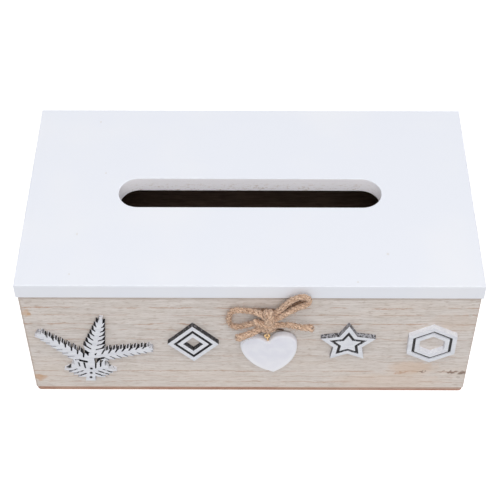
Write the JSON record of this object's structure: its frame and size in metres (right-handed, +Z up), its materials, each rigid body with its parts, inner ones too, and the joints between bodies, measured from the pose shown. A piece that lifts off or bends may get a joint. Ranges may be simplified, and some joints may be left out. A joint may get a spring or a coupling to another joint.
{
  "type": "napkin box",
  "caption": "Rectangular wooden napkin box with a back-hinged lid that has a round-ended pull slot, limed walls, block ornaments and a heart charm on a jute bow.",
  "frame": {"origin": "centre of the bottom board's underside, where the box stands", "axes": "+X along the box's length, to the right seen from the front; +Y from the ornamented front to the hinged back; +Z up"},
  "size_m": [0.25, 0.1506, 0.095],
  "materials": {
    "lid_paint": "satin white paint on smooth board",
    "limed_wood": "whitewashed softwood with fine horizontal grain",
    "hardboard": "bare brown hardboard",
    "filler": "sanded wood filler",
    "ornament_paint": "white paint on laser-cut board with charred edges",
    "heart_paint": "matt white paint with softened edges",
    "brass": "plain polished brass",
    "steel": "bright drawn wire",
    "jute": "twisted natural jute"
  },
  "bodies": {
    "box": {"front_panel": "limed_wood", "back_panel": "limed_wood", "left_panel": "limed_wood", "right_panel": "limed_wood", "bottom_panel": "hardboard", "front_filler_plugs": "filler", "back_filler_plugs": "filler", "front_brads": "steel", "back_brads": "steel", "base_brads": "steel", "left_hinge_box_leaf": "brass", "left_hinge_pin": "brass", "right_hinge_box_leaf": "brass", "right_hinge_pin": "brass", "hinge_box_screws": "brass", "sprig_ornament": "ornament_paint", "rhombus_ornament": "ornament_paint", "star_ornament": "ornament_paint", "hexagon_ornament": "ornament_paint", "twine_knot": "jute", "twine_left_loop": "jute", "twine_right_loop": "jute", "twine_left_tail": "jute", "twine_right_tail": "jute", "twine_yarn_loop": "jute"},
    "lid": {"lid": "lid_paint", "left_hinge_lid_leaf": "brass", "right_hinge_lid_leaf": "brass", "hinge_lid_screws": "brass"},
    "heart": {"heart_charm": "heart_paint", "heart_screw_eye": "brass"}
  },
  "joints": [
    {"name": "lid_hinge", "type": "hinge", "parent": "box", "child": "lid", "pos_m": [0, 0.0705, 0.085], "axis": [-1, 0, 0], "range_deg": [0, 180]},
    {"name": "heart_swing", "type": "hinge", "parent": "box", "child": "heart", "pos_m": [0.00964, -0.0713, 0.055], "axis": [0, -1, 0], "range_deg": [-27.3, 12.7]}
  ]
}
